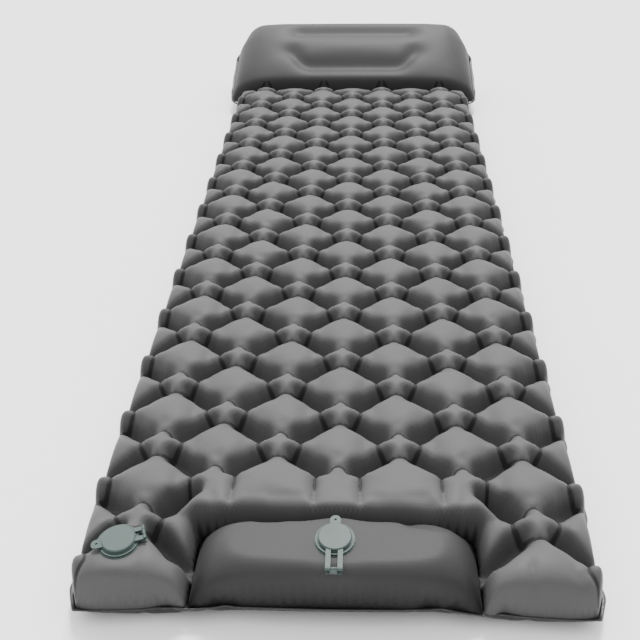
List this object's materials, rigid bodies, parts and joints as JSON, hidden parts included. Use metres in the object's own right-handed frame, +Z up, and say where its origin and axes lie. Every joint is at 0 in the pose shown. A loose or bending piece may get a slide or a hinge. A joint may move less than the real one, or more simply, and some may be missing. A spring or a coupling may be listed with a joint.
{
  "type": "inflatable sleeping pad",
  "caption": "Inflated camping mattress of welded diamond cells with a raised pillow, a foam foot pump at the foot and two capped flap valves.",
  "frame": {"origin": "centre of the pad's length and width, on the ground it lies on", "axes": "+X to the right seen from the foot end, +Y from the foot end towards the pillow, +Z up"},
  "size_m": [0.714, 1.95, 0.19],
  "materials": {
    "top_fabric": "coated ripstop nylon, low sheen",
    "bottom_fabric": "coated nylon, matt",
    "tie_fabric": "coated nylon strip",
    "pump_foam": "open-cell foam",
    "valve_body": "soft moulded plastic, satin",
    "valve_cap": "soft moulded plastic, satin",
    "silicone": "translucent silicone"
  },
  "bodies": {
    "mattress": {"bottom_sheet": "bottom_fabric", "top_sheet": "top_fabric", "pillow_bottom_panel": "bottom_fabric", "pillow_top_panel": "top_fabric", "pillow_tie_front": "tie_fabric", "pillow_tie_back": "tie_fabric", "pump_floor_panel": "bottom_fabric", "pump_foam": "pump_foam", "air_valve_flange": "valve_body", "transfer_valve_seat": "valve_body"},
    "pump_cover": {"pump_top_panel": "top_fabric", "pump_valve_flange": "valve_body", "pump_valve_insert": "valve_body", "pump_valve_grate": "valve_body"},
    "pump_cap": {"pump_valve_cap": "valve_cap"},
    "pump_flap": {"pump_valve_flap": "silicone"},
    "air_plug": {"air_valve_insert": "valve_body", "air_valve_grate": "valve_body"},
    "air_cap": {"air_valve_cap": "valve_cap"},
    "air_flap": {"air_valve_flap": "silicone"},
    "transfer_flap": {"transfer_valve_flap": "silicone"}
  },
  "joints": [
    {"name": "pump_press", "type": "slide", "parent": "mattress", "child": "pump_cover", "axis": [0, 0, -1], "range_m": [0, 0.032], "stiffness_N_per_m": 2000, "deforming": ["pump_top_panel", "pump_foam"]},
    {"name": "pump_cap_hinge", "type": "hinge", "parent": "pump_cover", "child": "pump_cap", "pos_m": [0, -0.9585, 0.1005], "axis": [1, 0, 0], "range_deg": [0, 150]},
    {"name": "pump_flap_lift", "type": "slide", "parent": "pump_cover", "child": "pump_flap", "axis": [0, 0, -1], "range_m": [0, 0.0025], "stiffness_N_per_m": 60},
    {"name": "air_plug_pull", "type": "slide", "parent": "mattress", "child": "air_plug", "axis": [0, 0, 1], "range_m": [0, 0.015]},
    {"name": "air_cap_hinge", "type": "hinge", "parent": "air_plug", "child": "air_cap", "pos_m": [-0.22881, -0.90574, 0.0945], "axis": [-0.342, 0.9397, 0], "range_deg": [0, 150]},
    {"name": "air_flap_lift", "type": "slide", "parent": "air_plug", "child": "air_flap", "axis": [0, 0, -1], "range_m": [0, 0.0025], "stiffness_N_per_m": 60},
    {"name": "transfer_flap_hinge", "type": "hinge", "parent": "mattress", "child": "transfer_flap", "pos_m": [0.11, -0.8506, 0.0415], "axis": [1, 0, 0], "range_deg": [0, 30], "stiffness_Nm_per_rad": 0.002}
  ]
}
